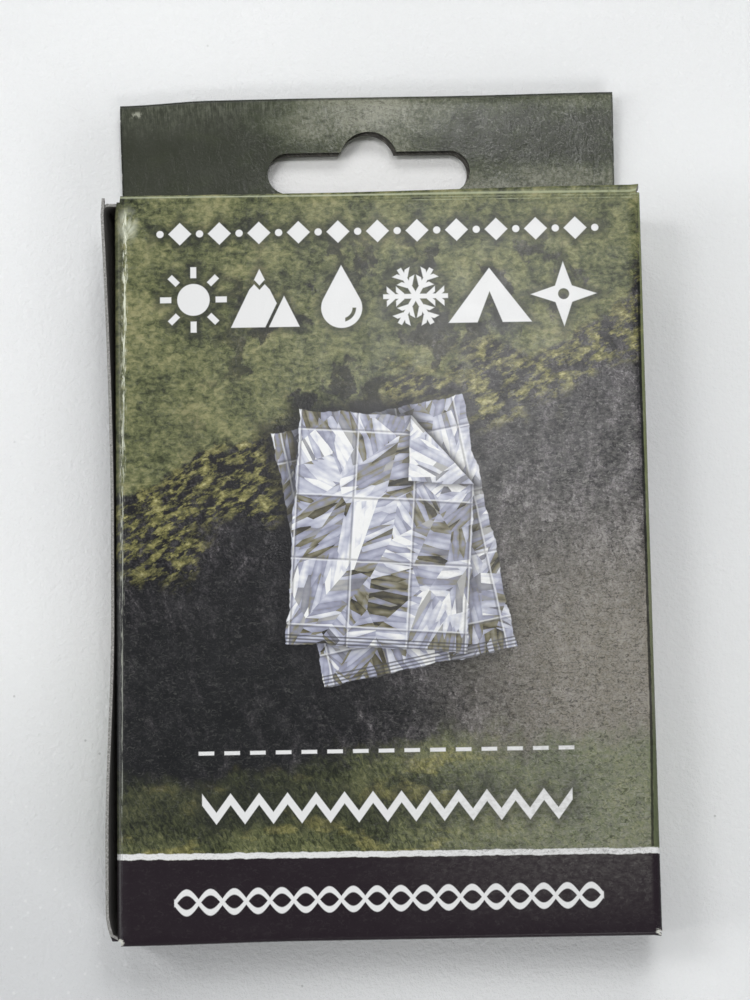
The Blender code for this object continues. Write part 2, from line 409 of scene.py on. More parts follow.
class Finish:
    """Builds one material of the board; x and y are millimetres on the printing plate."""

    def __init__(self, name):
        self.material = bpy.data.materials.new(name)
        self.material.use_nodes = True
        self.tree = self.material.node_tree
        self.surface = self.tree.nodes["Principled BSDF"]
        self.surface.location = (600, 0)
        self.tree.nodes["Material Output"].location = (900, 0)

    def node(self, kind, **settings):
        """Adds a shader node with these settings."""
        node = self.tree.nodes.new("ShaderNode" + kind)
        for key, value in settings.items():
            setattr(node, key, value)
        return node

    def feed(self, socket, value):
        """Links a field or an output to a node's input, or sets a plain value there."""
        if isinstance(value, Field):
            value = value.socket
        if isinstance(value, bpy.types.NodeSocket):
            self.tree.links.new(value, socket)
        elif isinstance(value, tuple) and socket.type == "RGBA":
            socket.default_value = (*value, 1)
        else:
            socket.default_value = value

    def plate(self):
        """The place on the printing plate, in millimetres from the front panel's middle."""
        uv = self.node("UVMap", uv_map="plate")
        split = self.node("SeparateXYZ")
        self.feed(split.inputs[0], uv.outputs[0])
        return [
            Field(self, split.outputs[i]) * (PLATE / MM) + PLATE_ORIGIN[i] / MM for i in range(2)
        ]

    def solid_place(self):
        """The place in the carton itself, in millimetres along X, Y and Z."""
        split = self.node("SeparateXYZ")
        self.feed(split.inputs[0], self.node("TexCoord").outputs["Object"])
        return [Field(self, split.outputs[i]) * (1 / MM) for i in range(3)]

    def point(self, x, y):
        """Joins x and y into one vector."""
        joined = self.node("CombineXYZ")
        self.feed(joined.inputs[0], x)
        self.feed(joined.inputs[1], y)
        return joined.outputs[0]

    def texture(self, kind, x, y, size, seed, **settings):
        """A flat texture at this lump width, or width and height; the seed moves it elsewhere."""
        wide, tall = size if isinstance(size, tuple) else (size, size)
        scaled = self.node("VectorMath", operation="MULTIPLY_ADD")
        self.feed(scaled.inputs[0], self.point(x, y))
        scaled.inputs[1].default_value = (1 / wide, 1 / tall, 0)
        scaled.inputs[2].default_value = (seed * 7.13, seed * -3.71, 0)
        node = self.node(kind, **settings)
        self.feed(node.inputs["Vector"], scaled.outputs[0])
        node.inputs["Scale"].default_value = 1.0
        return node

    def noise(self, x, y, size, seed, detail=3, roughness=0.55, twist=0.0):
        """Cloudy noise from 0 to 1."""
        node = self.texture("TexNoise", x, y, size, seed, noise_dimensions="2D")
        for name, value in (("Detail", detail), ("Roughness", roughness), ("Distortion", twist)):
            node.inputs[name].default_value = value
        return Field(self, node.outputs["Fac"])

    def cells(self, x, y, size, seed):
        """Straight-edged cells: distance from each one's middle and two random numbers a cell."""
        node = self.texture("TexVoronoi", x, y, size, seed, voronoi_dimensions="2D")
        split = self.node("SeparateColor")
        self.feed(split.inputs[0], node.outputs["Color"])
        distance = Field(self, node.outputs["Distance"])
        return distance, Field(self, split.outputs[0]), Field(self, split.outputs[1])

    def cell_borders(self, x, y, size, seed):
        """Distance from the nearest border between the same cells."""
        node = self.texture(
            "TexVoronoi", x, y, size, seed, voronoi_dimensions="2D", feature="DISTANCE_TO_EDGE")
        return Field(self, node.outputs["Distance"])

    def tones(self, value, stops):
        """A colour ramp through (place, colour) stops."""
        node = self.node("ValToRGB")
        self.feed(node.inputs[0], value)
        elements = node.color_ramp.elements
        while len(elements) < len(stops):
            elements.new(0.5)
        for element, (place, colour) in zip(elements, stops):
            element.position = place
            element.color = (*colour, 1)
        return node.outputs[0]

    def mix(self, share, under, over):
        """Lays one colour over another by a share."""
        node = self.node("Mix", data_type="RGBA")
        self.feed(node.inputs["Factor"], share)
        self.feed(node.inputs[6], under)
        self.feed(node.inputs[7], over)
        return node.outputs[2]

    def finish(self, colour, roughness, height, depth, specular=0.5):
        """Feeds the surface's colour, roughness and bump, whose depth is in metres."""
        bump = self.node("Bump")
        bump.inputs["Strength"].default_value = 1.0
        bump.inputs["Distance"].default_value = depth
        self.feed(bump.inputs["Height"], height)
        surface = self.surface.inputs
        self.feed(surface["Base Color"], colour)
        self.feed(surface["Roughness"], roughness)
        self.feed(surface["Normal"], bump.outputs[0])
        surface["Specular IOR Level"].default_value = specular
        return self.material


# Layout of the print, in millimetres from the front panel's middle on the flat plate
RULE = (-43.95, -43.1)
SIGN_ROW = 40.0
SIGN_PITCH = 11.2
DIAMOND_ROW = 50.2
DASH_ROW = -28.4
ZIGZAG_ROW = -36.6
BRAID_ROW = -50.0
# Parts of the front with a finish of their own: left, right, lowest and highest place
SIGN_PART = (-35.7, 37.0, 32.4, 54.4)
FOIL_PART = (-23.6, 24.6, -23.5, 29.6)
LOW_PART = (-37.0, 37.0, -54.0, -26.0)
# Each foil layer: middle, half size, turn, how far out its corner is folded down, seed
FOIL_LAYERS = (
    ((1.6, 3.0), (14.6, 19.4), radians(11), 34.0, 21.0),
    ((0.0, 4.4), (13.4, 17.6), radians(-4), 21.0, 31.0),
)

FOIL_PANEL = (8.8, 9.8)  # width and height of a panel between the folds of the foil

WHITE_INK = (0.67, 0.675, 0.675)
PLUM_INK = (0.018, 0.013, 0.017)
SIGN_SHADE = (0.020, 0.022, 0.020)
PAPER = (0.60, 0.60, 0.55)
MEADOW = (
    (0.25, (0.018, 0.021, 0.012)), (0.42, (0.052, 0.060, 0.029)), (0.56, (0.105, 0.116, 0.053)),
    (0.70, (0.165, 0.172, 0.080)), (0.85, (0.250, 0.240, 0.120)),
)
CRAG = (
    (0.28, (0.010, 0.010, 0.012)), (0.43, (0.027, 0.026, 0.029)), (0.57, (0.058, 0.054, 0.058)),
    (0.70, (0.115, 0.106, 0.112)), (0.86, (0.270, 0.258, 0.262)),
)
MOSS = (
    (0.25, (0.030, 0.030, 0.014)), (0.45, (0.110, 0.108, 0.040)), (0.62, (0.255, 0.238, 0.088)),
    (0.82, (0.520, 0.490, 0.250)),
)
FOIL = (
    (0.04, (0.030, 0.029, 0.026)), (0.16, (0.115, 0.104, 0.062)), (0.28, (0.215, 0.205, 0.150)),
    (0.40, (0.225, 0.232, 0.305)), (0.58, (0.360, 0.375, 0.470)), (0.76, (0.540, 0.555, 0.620)),
    (0.92, (0.740, 0.745, 0.740)),
)


def span(finish, x, y):
    """Length of the vector from x and y."""
    node = finish.node("VectorMath", operation="LENGTH")
    finish.feed(node.inputs[0], finish.point(x, y))
    return Field(finish, node.outputs["Value"])


def turned(x, y, middle, angle):
    """Coordinates about another middle, turned by an angle."""
    across, up = x - middle[0], y - middle[1]
    return across * cos(angle) + up * sin(angle), up * cos(angle) - across * sin(angle)


def round_fold(finish, x, y, arms):
    """Folds the plane into half of one arm of a star; gives places along and beside the arm."""
    angle = y.math("ARCTAN2", x).math("PINGPONG", pi / arms)
    away = span(finish, x, y)
    return away * angle.math("COSINE"), away * angle.math("SINE")


def ink(distance, soft=0.07):
    """Full ink inside a shape, whose distance is negative there."""
    return distance.rise(soft, -soft)


# Each of the six signs gives the distance from its outline in millimetres, negative inside.
# All take the finish, though peaks and tent do without it.

def sun(finish, x, y):
    along, beside = round_fold(finish, x, y, 8)
    ray = (abs(along - 4.2) - 0.85).most(beside - 0.45)
    return ray.least(span(finish, x, y) - 2.45)


def peaks(finish, x, y):
    tall = abs(x + 1.2) * 0.90 + (y - 4.6) * 0.436
    low = abs(x - 2.5) * 0.90 + (y - 0.4) * 0.436
    snow_line = abs(y - 1.7 - (x + 1.2).math("PINGPONG", 0.8) * 1.1) * 0.7 - 0.24
    tall = tall.most(snow_line * -1).most(0.5 - low)
    return tall.least(low).most(-4.4 - y)


def drop(finish, x, y):
    tip = (abs(x) * 0.883 + (y - 5.0) * 0.470).most(-0.15 - y)
    shine = abs(span(finish, x, y + 1.6) - 1.9) - 0.28
    shine = shine.most(x * -1 + 0.5).most(y + 1.6)
    return (span(finish, x, y + 1.6) - 3.1).least(tip).most(shine * -1)


def snow(finish, x, y):
    along, beside = round_fold(finish, x, y, 6)
    arm = (beside - 0.36).most(along - 4.9)
    for start in (1.7, 3.1):
        branch = abs(beside - (along - start) * 0.9) * 0.74 - 0.32
        arm = arm.least(branch.most(along - start - 1.25).most(start - along))
    return arm


def tent(finish, x, y):
    roof = (abs(x) * 0.80 + (y - 4.2) * 0.60).most(-4.2 - y)
    door = abs(x) * 0.93 + (y - 0.6) * 0.37
    return roof.most(door * -1)


def rose(finish, x, y):
    along, beside = round_fold(finish, x, y, 4)
    star = (along - 5.0) * 0.322 + beside * 0.947
    return star.most(0.85 - span(finish, x, y))


def landscape(finish, x, y):
    """Grassy upland with a slanting crag, mossy along its upper ledge."""
    hills = finish.noise(x, y, 17, 1.0, detail=2)
    ragged = finish.noise(x, y, 2.6, 2.0, detail=4, roughness=0.65)
    over_ledge = y - x * 0.40 - 38.0 + hills * 22 + ragged * 5
    over_bank = y - x * 0.10 + 30.5 - hills * 14 + ragged * 7

    broad = finish.noise(x, y, (9, 6), 4.0, detail=2)
    clumps = finish.noise(x, y, (1.1, 0.75), 3.0, detail=4, roughness=0.68, twist=0.3)
    meadow = finish.tones(clumps * 1.00 + broad * 0.62 + ragged * 0.42 - 0.435, MEADOW)

    streaks = finish.noise(x + ragged * 3, y + x * 0.3, (0.65, 1.1), 5.0, detail=4, roughness=0.70)
    slabs = finish.noise(x + hills * 9, y, (3.0, 7), 6.0, detail=5, roughness=0.66)
    speckle = finish.noise(x, y, (0.34, 0.28), 30.0, detail=2, roughness=0.7)
    # Painted sheen in part: the crag gets paler towards the right, where the lamps reflect.
    paler = x.rise(-20, 40) * 0.32 - 0.20 + speckle * 0.55 - y.rise(0, 24) * 0.17
    crag = finish.tones(streaks * 0.85 + slabs * 1.05 + broad * 0.25 + paler - 0.82, CRAG)
    earthy = x.rise(2, 32) * y.rise(14, -14) * (speckle.rise(0.36, 0.52) * 0.35 + 0.42)
    crag = finish.mix(earthy, crag, (0.250, 0.230, 0.185))
    crack = finish.cell_borders(x + slabs * 9, y + ragged * 7, (4.6, 10), 9.0).rise(0.07, 0.0)
    crag = finish.mix(crack * (0.75 - earthy * 0.9), crag, (0.008, 0.008, 0.010))

    blades = finish.noise(x + y * 0.35, y, (0.55, 1.0), 7.0, detail=4, roughness=0.68, twist=0.6)
    grass = finish.tones(
        blades * 1.00 + broad * 0.60 + hills * 0.3 + x.rise(0, 34) * 0.08 - 0.46, MEADOW)
    sunlit = finish.noise(x, y, (11, 5), 8.0, detail=4, roughness=0.6)
    lit = sunlit.rise(0.54, 0.66) * (0.8 - x.rise(6, 30) * 0.6)
    grass = finish.mix(lit, grass, finish.tones(blades * 0.7 + clumps * 0.4, MOSS))
    # Painted sheen in part: the grass turns greyer and paler towards the right.
    grass = finish.mix(x.rise(-4, 34) * 0.50, grass, (0.185, 0.205, 0.145))

    cushions = finish.noise(x + y * 0.5, y - x * 0.5, (3.4, 1.5), 10.0, detail=4, roughness=0.66)
    on_ledge = over_ledge.band(-11.0, 0.4, 2.5) * cushions.rise(0.44, 0.56)
    moss = finish.tones(clumps * 0.95 + cushions * 0.85 - 0.46, MOSS)

    outcrop = finish.noise(x + ragged * 4, y, (8, 10), 31.0, detail=4, roughness=0.62)
    outcrop = outcrop.rise(0.53, 0.60) * x.rise(-34, -16) * y.rise(6, 16) * y.rise(55, 45)
    land = finish.mix(over_ledge.rise(1.0, -1.0).most(outcrop * 0.85), meadow, crag)
    land = finish.mix(on_ledge * 0.9, land, moss)
    land = finish.mix(over_bank.rise(1.5, -4.0), land, grass)
    night = over_bank.rise(34, 14) * over_bank.rise(-16, -6) * over_ledge.rise(-5, -18)
    return finish.mix(night * x.rise(14, -22) * 0.62, land, (0.014, 0.015, 0.016))


def crinkled(finish, u, v, seed, lift=0.0):
    """Tones of crinkled foil: facets, each broken into straight shards that run its own way."""
    a, b = turned(u, v, (0, 0), radians(35 + seed))
    _, tone, chance = finish.cells(a, b, (8.0, 4.4), seed)
    way = chance * 6.28
    east, north = way.math("COSINE"), way.math("SINE")
    across = a * east + b * north
    along = b * east - a * north
    reach, shard, glint = finish.cells(across + tone * 40, along, (0.85, 5.0), seed + 1)
    sheen = finish.noise(u, v, (3.0, 1.8), seed + 2, detail=2)
    value = tone * 0.22 + shard * 0.62 + sheen * 0.5 - reach * 0.30 + lift
    tones = finish.tones(value, FOIL)
    return finish.mix((glint - 0.90).rise(0, 0.02) * 0.55, tones, (0.050, 0.046, 0.034))


def foil_pack(finish, x, y, under):
    """A folded foil sheet: a loose lower layer, and a creased upper one with a turned-down corner."""
    wobble = finish.noise(x, y, 4.5, 20.0, detail=3, roughness=0.6) * 1.3 - 0.65
    for middle, half, angle, corner, seed in FOIL_LAYERS:
        u, v = turned(x, y, middle, angle)
        edge = (abs(u) - half[0]).most(abs(v) - half[1]).most(u + v - corner) + wobble
        shade = edge + (u - v) * 0.03
        under = finish.mix(shade.rise(2.4, -0.6) * 0.8, under, (0.010, 0.010, 0.012))
        across, upward = (
            place.math("PINGPONG", width) - width / 2 for place, width in zip((u, v), FOIL_PANEL)
        )
        panels = (across * upward).rise(-0.5, 0.5) * 0.24 - 0.12
        foil = crinkled(finish, u, v, seed, panels)
        fold = abs(across + wobble * 0.2).least(abs(upward + wobble * 0.2))
        foil = finish.mix(fold.rise(0.20, 0.04) * 0.6, foil, (0.76, 0.77, 0.79))
        beside = abs(across - 0.26).least(abs(upward + 0.26))
        foil = finish.mix(beside.rise(0.26, 0.02) * 0.5, foil, (0.08, 0.08, 0.095))
        stack = (v + half[1] - 0.9).rise(0.75, 0.65) * v.math("PINGPONG", 0.26).rise(0.10, 0.17)
        foil = finish.mix(stack * 0.75, foil, (0.06, 0.06, 0.065))
        under = finish.mix(ink(edge, 0.08), under, foil)
    # The last layer's corner lies mirrored across its own fold line.
    flap = (abs(corner - v) - half[0]).most(abs(corner - u) - half[1]).most(u + v - corner)
    flap = flap + wobble * 0.5
    under = finish.mix(flap.rise(1.3, -0.2) * 0.7, under, (0.02, 0.02, 0.025))
    return finish.mix(ink(flap, 0.08), under, crinkled(finish, v, u, seed + 5, 0.20))


def sign_rows(finish, x, y, under):
    """White signs of weather and camp under a row of diamonds, with a soft shadow round them."""
    signs = None
    for i, sign in enumerate((sun, peaks, drop, snow, tent, rose)):
        distance = sign(finish, x - (i - 2.5) * SIGN_PITCH, y - SIGN_ROW)
        signs = distance if signs is None else signs.least(distance)
    up = y - DIAMOND_ROW
    step = x.math("PINGPONG", 3.0)
    diamond = (step + abs(up) - 1.75) * 0.7
    dot = span(finish, step - 3.0, up) - 0.55
    signs = signs.least(diamond.least(dot).most(abs(x) - 33.9))
    under = finish.mix(signs.rise(1.6, 0.1) * 0.6, under, SIGN_SHADE)
    return finish.mix(ink(signs), under, WHITE_INK)


def low_rows(finish, x, y, under):
    """White rows below the foil: dashes, a bold zigzag, and a braid in the dark band."""
    up = y - ZIGZAG_ROW
    zigzag = (abs(up - x.math("PINGPONG", 2.1) * 1.35 + 1.4) * 0.6 - 0.52).most(abs(x) - 27.3)
    under = finish.mix(zigzag.rise(2.0, 0.1) * 0.55, under, SIGN_SHADE)
    dashes = (x.math("PINGPONG", 1.9) - 1.15).most(abs(y - DASH_ROW) - 0.28).most(abs(x) - 27.9)
    wave = (x * 0.9).math("SINE") * 1.45
    up = y - BRAID_ROW
    braid = (abs(up - wave).least(abs(up + wave)) * 0.66 - 0.30).most(abs(x) - 31.5)
    return finish.mix(ink(zigzag.least(dashes).least(braid)), under, WHITE_INK)


def wrap_print(finish, x, y):
    """The print that runs all round the carton: the landscape over a ruled dark band."""
    land = landscape(finish, x, y)
    rough_y = y + x * 0.004 + finish.noise(x, y * 0.2, 1.6, 11.0, detail=3) * 0.44 - 0.22
    low, high = RULE
    printed = finish.mix(rough_y.rise(low + 0.1, low - 0.1), land, PLUM_INK)
    worn_x = finish.noise(x, y, (0.5, 0.2), 12.0, detail=2).rise(0.30, 0.42)
    return finish.mix(rough_y.band(low, high, 0.09) * (worn_x * 0.2 + 0.8), printed, WHITE_INK)


def varnish_height(finish, x, y):
    """Relief of the varnished board: orange peel, fine pits and a slow waviness."""
    peel = finish.noise(x, y, 0.42, 13.0, detail=1, roughness=0.6)
    slow = finish.noise(x, y, 6.0, 14.0, detail=1)
    pits, chance, _ = finish.cells(x, y, 0.55, 15.0)
    pit = pits.rise(0.22, 0.08) * chance.rise(0.55, 0.60)
    return peel + slow * 4.0 - pit * 0.35


def crease_wear_and_light(finish, x, y, under):
    """Ink cracked off or rubbed pale along the creases and at the corners; darker lines there are
    painted shade in part, and pale ones painted highlights in part.
    """
    streak = finish.noise(x, y, (0.22, 2.0), 16.0, detail=4, roughness=0.72)
    cross = finish.noise(x, y, (1.5, 0.16), 17.0, detail=4, roughness=0.75)
    patchy = finish.noise(x, y, 8, 18.0, detail=2)
    above_band = y.rise(RULE[1] - 0.05, RULE[1] + 0.1)
    # Right crease: a ragged dark line, painted shade where the crease turns away, then the olive strip
    # that turns over the edge; both widen downwards.
    across = x - y.rise(-50, -22) * 0.45 - y.rise(26, 50) * 0.25
    strip = across.rise(38.93, 39.03) * x.rise(42.0, 41.9)
    tint = finish.mix(y.rise(20, -35), (0.190, 0.215, 0.100), (0.070, 0.086, 0.044))
    under = finish.mix(strip * above_band * (streak * 0.5 + 0.5), under, tint)
    crease_shade_line = (across + streak * 0.30).band(38.74, 39.14, 0.07) * y.rise(50, 36)
    under = finish.mix(crease_shade_line * above_band * 0.85, under, (0.012, 0.013, 0.011))
    # Left crease: darker outside a pale line that leans inwards, cracked wider towards the top corner;
    # the line is rubbed ink and in part a painted highlight on the ridge, brighter towards the top.
    high = y.rise(4, 50)
    leaning = x - (y + 43) * 0.005 - high * 0.36
    under = finish.mix(leaning.rise(-39.20, -39.40) * 0.45, under, (0.016, 0.017, 0.016))
    left = (leaning + streak * 0.24 - 0.12).band(-39.18 - high * 0.10, -39.04 + high * 0.10, 0.06)
    left = left * (streak * 0.7 + patchy * 0.5 + high * 0.03).rise(0.50, 0.66) * y.rise(54.5, 52.5)
    rubbed = finish.mix(high, (0.27, 0.28, 0.25), (0.60, 0.62, 0.48))
    rubbed = finish.mix(above_band, (0.055, 0.055, 0.060), rubbed)
    under = finish.mix(left * 0.85, under, rubbed)
    # The top left corner is dented: a painted highlight, a fan of sheen, with pale cracks running down
    # from it, cracked ink that also carries painted glints along the crease's ridge.
    turn = (y - 49.0).math("ARCTAN2", x + 38.9)
    ray = finish.noise(turn * 3.2, span(finish, x + 38.9, y - 49.0) * 0.3, 1.0, 22.0, detail=3)
    painted_dent_sheen = span(finish, (x + 37.9) * 0.74, (y - 51.7) * 0.42).rise(1.5, 0.1)
    under = finish.mix(painted_dent_sheen * ray.rise(0.25, 0.60) * 0.85, under, (0.56, 0.58, 0.47))
    cracks_and_glints = leaning.band(-39.55, -38.75, 0.3) * y.rise(RULE[1], 46) * y.rise(54.4, 52.6)
    split = (streak + cracks_and_glints * 0.09).rise(0.58, 0.68)
    under = finish.mix(cracks_and_glints * split * 0.8, under, (0.68, 0.70, 0.58))
    # Top crease: one long pale line on the edge, and two fainter below it towards the right; rubbed
    # ink in part and in part a painted highlight along the crease.
    level = y + x * 0.004
    more = level.band(54.84, 54.94, 0.04).most(level.band(55.18, 55.28, 0.05)) * x.rise(-14, 14)
    top = level.band(55.50, 55.66, 0.07) * (cross * 0.8 + patchy * 0.3).rise(0.30, 0.52)
    top = top.most(more * (cross * 0.8 + patchy * 0.3).rise(0.42, 0.70) * 0.9)
    under = finish.mix(top * 0.75, under, (0.40, 0.43, 0.29))
    # Corners rubbed through to the board.
    chip = span(finish, abs(x) - 39.45, y + 55.45) + cross * 1.4 - 0.7
    return finish.mix(chip.rise(0.62, 0.40) * 0.9, under, PAPER)


VARNISH = 0.19  # specular level of the thin varnish over the ink


def sheen_flecks(finish, x, y, under, strength):
    """Crisp small flecks, darker and paler, where the varnish cracked over the pressed board: painted
    glints and dark specks of its sheen.
    """
    flecks = finish.noise(x, y, (0.85, 0.48), 23.0, detail=4, roughness=0.72, twist=1.2)
    under = finish.mix(flecks.rise(0.47, 0.37) * strength, under, (0.012, 0.012, 0.012))
    return finish.mix(flecks.rise(0.55, 0.66) * strength * 0.6, under, (0.34, 0.34, 0.31))


def printed(name, artwork):
    """Print under a semi-gloss varnish, with this artwork laid over the wrap and a painted sheen of
    reflected light over the lower right and the dark band.
    """
    f = Finish(name)
    x, y = f.plate()
    # Painted sheen: the lower right of the front and its dark band, where the lamps reflect, get
    # stronger flecks and a pale veil.
    sheen_zone = x.rise(-10, 30) * x.rise(39.0, 38.4) * y.rise(44, 10) * y.rise(-57, -44)
    above = y.rise(RULE[0] - 0.6, RULE[1])
    ground = sheen_flecks(f, x, y, wrap_print(f, x, y), (sheen_zone * 0.46 + 0.15) * (above * 0.72 + 0.28))
    colour = artwork(f, x, y, ground)
    # Painted reflection: a pale veil broken by grain, fainter on the dark band.
    sheen_grain = f.noise(x, y, (1.1, 0.7), 21.0, detail=4, roughness=0.7)
    painted_sheen = sheen_grain.rise(0.32, 0.76) * (above * 0.27 + 0.15) + (above - 1) * -0.06
    colour = f.mix(sheen_zone * painted_sheen, colour, (0.235, 0.228, 0.212))
    rough = f.noise(x, y, 3.2, 19.0, detail=1) * 0.12 + 0.19
    height = varnish_height(f, x, y)
    return f.finish(colour, rough, height, 0.010 * MM, specular=VARNISH)


def wrap_coat():
    """Outside of the sleeve and lids wherever no artwork stands, worn along its creases, with painted
    shade and highlights there.
    """
    return printed("wrap_coat", crease_wear_and_light)


def sign_coat():
    """Upper part of the front."""
    return printed("sign_coat", sign_rows)


def foil_coat():
    """Middle of the front."""
    return printed("foil_coat", foil_pack)


def low_coat():
    """Lower part of the front."""
    return printed("low_coat", low_rows)


SLEEVE_COATS = (wrap_coat, sign_coat, foil_coat, low_coat)


def front_part(x, y):
    """Which of the sleeve's coats a place on the plate has; x and y are in millimetres."""
    for i, (left, right, low, high) in enumerate((SIGN_PART, FOIL_PART, LOW_PART), start=1):
        if left < x < right and low < y < high:
            return i
    return 0


def header_print():
    """Outside of the header: dark green, scuffed near its fold, with faint upright streaks, a painted
    sheen across its middle and painted shade along its fold.
    """
    f = Finish("header_print")
    x, y = f.plate()
    clouds = f.noise(x, y, (6, 4), 51.0, detail=4, roughness=0.62)
    grain = f.noise(x, y, (0.6, 0.75), 52.0, detail=4, roughness=0.74)
    # Painted highlight: the tones are paler across the middle, near the fold.
    sheen = x.rise(-26, -7) * x.rise(15, 0) * y.rise(69, 78)
    right = x.rise(4, 14)
    lower = y.rise(72, 65)
    value = clouds * 0.56 + grain * (x.rise(-24, -4) * 0.62 + 0.08) + sheen * 0.24
    value = value + right * (lower * 0.12 - y.band(69.0, 77.0, 2.0) * 0.25) - 0.08
    colour = f.tones(value, (
        (0.27, (0.040, 0.044, 0.031)), (0.44, (0.047, 0.055, 0.032)),
        (0.60, (0.088, 0.098, 0.060)), (0.86, (0.230, 0.234, 0.176)),
    ))
    streak = f.noise(x + y * 0.05, y, (0.22, 3.0), 53.0, detail=3, roughness=0.7)
    foot = y.rise(67.0, 61.0) * streak.rise(0.58, 0.74)
    rubbed = f.noise(x, y, (0.9, 1.6), 54.0, detail=4, roughness=0.65)
    scuff = y.rise(73.0, 79.6) * x.rise(4.0, -12.0) * (rubbed * 0.6 + streak * 0.5).rise(0.44, 0.74)
    colour = f.mix((foot * 0.5).most(scuff * 0.6), colour, (0.150, 0.160, 0.120))
    colour = sheen_flecks(f, x, y, colour, x.rise(-26, -4) * 0.40 + 0.07)
    dent = span(f, (x + 37.5) * 0.5, y - 78.3).rise(0.75, 0.2) * rubbed.rise(0.45, 0.60)
    colour = f.mix(dent * 0.8, colour, (0.36, 0.37, 0.30))
    beside = abs(x + 1.2)  # from the header's own middle
    # A dark rim: painted shade along the fold at the top, and the board's dark cut edge down the sides.
    rim = beside.rise(38.45, 38.75).most(y.band(79.5, 81.4, 0.15))
    colour = f.mix(rim * 0.7, colour, (0.014, 0.016, 0.012))
    chips = f.noise(x, y, (0.3, 1.1), 56.0, detail=3).rise(0.60, 0.68)
    colour = f.mix(beside.rise(38.72, 38.88) * chips * 0.7, colour, PAPER)
    rough = f.noise(x, y, 4.0, 57.0, detail=1) * 0.14 + 0.17
    fibre = f.noise(x, y, (1.5, 1.9), 58.0, detail=3, roughness=0.6, twist=0.5)
    height = varnish_height(f, x, y) + fibre * 2.5
    return f.finish(colour, rough, height, 0.012 * MM, specular=VARNISH)


def slot_edge():
    """Punched edge of the hang slot: layers of grey-brown board, darkened as painted shade."""
    f = Finish("slot_edge")
    x, y, z = f.solid_place()
    torn = f.noise(x + y, z * 3, (0.35, 0.5), 85.0, detail=3, roughness=0.7)
    colour = f.tones(torn, (
        (0.34, (0.026, 0.025, 0.022)), (0.56, (0.070, 0.066, 0.058)), (0.74, (0.200, 0.190, 0.170)),
    ))
    return f.finish(colour, 0.88, torn, 0.03 * MM)


def flap_coat():
    """Outside of a dust flap: the wall's print runs a little past the crease, then bare clay coat."""
    f = Finish("flap_coat")
    x, y = f.plate()
    bleed = abs(y) + f.noise(x, y, 5.0, 61.0) * 0.8
    clay = f.tones(f.noise(x, y, 0.6, 62.0, detail=4), (
        (0.3, (0.60, 0.59, 0.55)), (0.7, (0.70, 0.69, 0.65)),
    ))
    colour = f.mix(bleed.rise(59.6, 59.4), clay, wrap_print(f, x, y))
    height = f.noise(x, y, 0.5, 63.0, detail=3)
    return f.finish(colour, 0.5, height, 0.012 * MM)


def raw_inside():
    """Uncoated inside of the board: grey-brown recycled fibre."""
    f = Finish("raw_inside")
    x, y, z = f.solid_place()
    fibre = f.noise(x + z * 1.7, y + z * 0.6, (0.35, 1.3), 71.0, detail=5, roughness=0.7, twist=1.0)
    specks = f.noise(x - z, y + x * 0.3, 0.30, 72.0, detail=2)
    colour = f.tones(fibre, (
        (0.30, (0.230, 0.212, 0.190)), (0.52, (0.320, 0.300, 0.272)), (0.72, (0.410, 0.390, 0.355)),
    ))
    colour = f.mix(specks.rise(0.68, 0.74) * 0.6, colour, (0.07, 0.06, 0.05))
    # The inside of the left wall darkens towards its free edge: painted shade of the narrow gap there.
    painted_gap_shade = x.rise(-39.4, -40.3) * z.rise(7, 15)
    colour = f.mix(painted_gap_shade * 0.75, colour, (0.050, 0.049, 0.051))
    return f.finish(colour, 0.9, fibre, 0.03 * MM)


def raw_edge():
    """Cut edge of the board: pale torn fibre in layers."""
    f = Finish("raw_edge")
    x, y, z = f.solid_place()
    torn = f.noise(x + z * 0.8, y + z * 0.5, (0.28, 0.28), 81.0, detail=4, roughness=0.7)
    colour = f.tones(torn, (
        (0.30, (0.120, 0.117, 0.110)), (0.50, (0.225, 0.222, 0.212)), (0.70, (0.380, 0.378, 0.362)),
    ))
    return f.finish(colour, 0.88, torn, 0.04 * MM)


def floor_card():
    """The stage's floor: matt white card with a faint tooth, painted darker where the lamps' light falls
    off and paler round the hang slot.
    """
    f = Finish("floor_card")
    x, y, _ = f.solid_place()
    cloud = f.noise(x, y, 60, 91.0, detail=2)
    tooth = f.noise(x, y, 0.9, 92.0, detail=4, roughness=0.7)
    colour = f.tones(cloud, ((0.3, (0.765, 0.775, 0.78)), (0.7, (0.795, 0.805, 0.81))))
    # Painted shade: darker towards the lower left and, less, the lower right, where the light falls off.
    painted_falloff_shade = (y.rise(0, -60) * x.rise(10, -55)).most(x.rise(35, 80) * y.rise(10, -70) * 0.5)
    colour = f.mix(painted_falloff_shade * 0.9, colour, (0.565, 0.575, 0.585))
    # Painted light: paler card round the hang slot, against the header's shade.
    lit = span(f, (x + 1.2) * 0.05, (y - 64.5) * 0.16).rise(1.15, 0.75)
    colour = f.mix(lit * 0.8, colour, (0.91, 0.905, 0.905))
    fleck, chance, _ = f.cells(x, y, 2.2, 93.0)
    pale = fleck.rise(0.16, 0.02) * chance.rise(0.70, 0.80)
    dark = fleck.rise(0.12, 0.04) * chance.rise(0.005, 0.003)
    colour = f.mix(pale * 0.25, colour, (0.86, 0.86, 0.86))
    colour = f.mix(dark * 0.5, colour, (0.25, 0.25, 0.25))
    return f.finish(colour, 0.85, tooth, 0.22 * MM)


BOARD_FINISHES = {}


def board_finish(make):
    """The finish that this function makes, made once and shared."""
    if make not in BOARD_FINISHES:
        BOARD_FINISHES[make] = make()
    return BOARD_FINISHES[make]


# ---------------------------------------------------------------- sleeve

NOTCH = 0.775 * MM  # how far short of the sleeve's end its panels stop where a flap's crease begins
HAIR = 0.1 * MM  # less than the board's thickness
